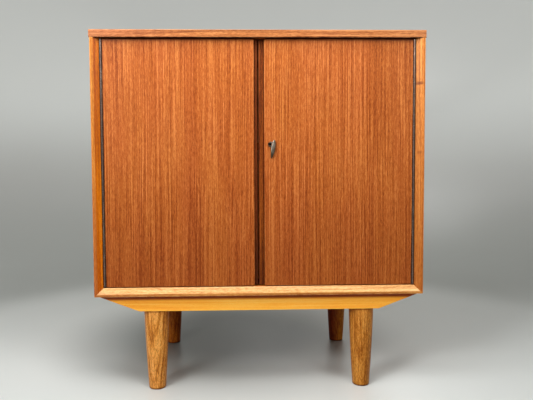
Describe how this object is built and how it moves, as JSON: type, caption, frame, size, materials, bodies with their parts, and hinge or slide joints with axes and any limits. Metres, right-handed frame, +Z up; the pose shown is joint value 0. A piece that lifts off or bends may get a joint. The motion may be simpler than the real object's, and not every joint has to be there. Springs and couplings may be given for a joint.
{
  "type": "record cabinet",
  "caption": "Low two-door cabinet for records on a timber base with turned legs, with full-height piano hinges, a lock with a folding key, slide bolts, a shelf and upright dividers.",
  "frame": {"origin": "on the floor, under the middle of the cabinet", "axes": "+X to the right seen from the front, +Y from front to back, +Z up"},
  "size_m": [0.804, 0.43, 0.877],
  "materials": {
    "teak_board": "oiled teak veneer",
    "teak_door": "oiled teak veneer, upright grain",
    "teak_solid": "oiled solid teak",
    "dark_wood": "dark stained hardwood",
    "plywood": "thin veneered plywood",
    "beech": "lacquered beech",
    "oak": "oiled oak",
    "hinge_metal": "dulled nickel plate",
    "screw_steel": "plain steel",
    "brass": "aged brass",
    "lock_steel": "plain steel",
    "key_steel": "darkened steel"
  },
  "bodies": {
    "cabinet": {"top_panel": "teak_board", "top_front_lipping": "teak_solid", "left_side_panel": "teak_board", "left_front_lipping": "teak_solid", "right_side_panel": "teak_board", "right_front_lipping": "teak_solid", "bottom_panel": "teak_board", "bottom_front_lipping": "teak_solid", "back_panel": "plywood", "back_panel_screws": "screw_steel", "carcass_dowels": "beech", "shelf_dowels": "beech", "middle_shelf": "teak_board", "record_dividers": "plywood", "door_stops": "teak_solid", "door_stop_screws": "screw_steel", "upper_bolt_keeper": "brass", "lower_bolt_keeper": "brass", "bolt_keeper_screws": "screw_steel", "left_hinge_frame_leaf": "hinge_metal", "right_hinge_frame_leaf": "hinge_metal", "left_hinge_frame_screws": "screw_steel", "right_hinge_frame_screws": "screw_steel", "left_hinge_pin": "hinge_metal", "right_hinge_pin": "hinge_metal", "front_base_rail": "beech", "rear_base_rail": "beech", "left_cross_rail": "beech", "right_cross_rail": "beech", "base_screws": "screw_steel", "front_left_leg": "oak", "front_right_leg": "oak", "rear_left_leg": "oak", "rear_right_leg": "oak", "leg_bolts": "screw_steel", "leg_inserts": "screw_steel"},
    "left_door": {"left_door_panel": "teak_door", "left_door_lip": "dark_wood", "left_hinge_door_leaf": "hinge_metal", "left_hinge_door_screws": "screw_steel", "upper_bolt_case": "brass", "lower_bolt_case": "brass", "bolt_case_screws": "screw_steel", "lock_keeper": "brass", "lock_keeper_screws": "screw_steel"},
    "right_door": {"right_door_panel": "teak_door", "right_door_lip": "dark_wood", "right_hinge_door_leaf": "hinge_metal", "right_hinge_door_screws": "screw_steel", "lock_case": "lock_steel", "lock_case_screws": "screw_steel", "keyhole_bush": "key_steel"},
    "upper_slide": {"upper_bolt": "lock_steel"},
    "lower_slide": {"lower_bolt": "lock_steel"},
    "bolt": {"lock_bolt": "brass"},
    "barrel": {"lock_barrel": "key_steel"},
    "key": {"key_stem": "key_steel"},
    "bow": {"key_bow": "key_steel", "key_pivot_pin": "key_steel"}
  },
  "joints": [
    {"name": "left_door_swing", "type": "hinge", "parent": "cabinet", "child": "left_door", "pos_m": [-0.3767, -0.205, 0.559], "axis": [0, 0, -1], "range_deg": [0, 140]},
    {"name": "right_door_swing", "type": "hinge", "parent": "cabinet", "child": "right_door", "pos_m": [0.3767, -0.205, 0.559], "axis": [0, 0, 1], "range_deg": [0, 140]},
    {"name": "upper_bolt_slide", "type": "slide", "parent": "left_door", "child": "upper_slide", "axis": [0, 0, 1], "range_m": [0, 0.012]},
    {"name": "lower_bolt_slide", "type": "slide", "parent": "left_door", "child": "lower_slide", "axis": [0, 0, -1], "range_m": [0, 0.012]},
    {"name": "key_turn", "type": "hinge", "parent": "right_door", "child": "barrel", "pos_m": [0.0253, -0.205, 0.606], "axis": [0, 1, 0], "range_deg": [0, 180]},
    {"name": "lock_bolt_throw", "type": "slide", "parent": "right_door", "child": "bolt", "axis": [-1, 0, 0], "range_m": [0, 0.01]},
    {"name": "key_withdraw", "type": "slide", "parent": "barrel", "child": "key", "axis": [0, -1, 0], "range_m": [0, 0.025]},
    {"name": "key_bow_fold", "type": "hinge", "parent": "key", "child": "bow", "pos_m": [0.0253, -0.21, 0.606], "axis": [-0.1891, 0, -0.982], "range_deg": [0, 90]}
  ],
  "couplings": [
    {"joint": "lock_bolt_throw", "follows": "key_turn", "m_per_rad": 0.00318}
  ]
}
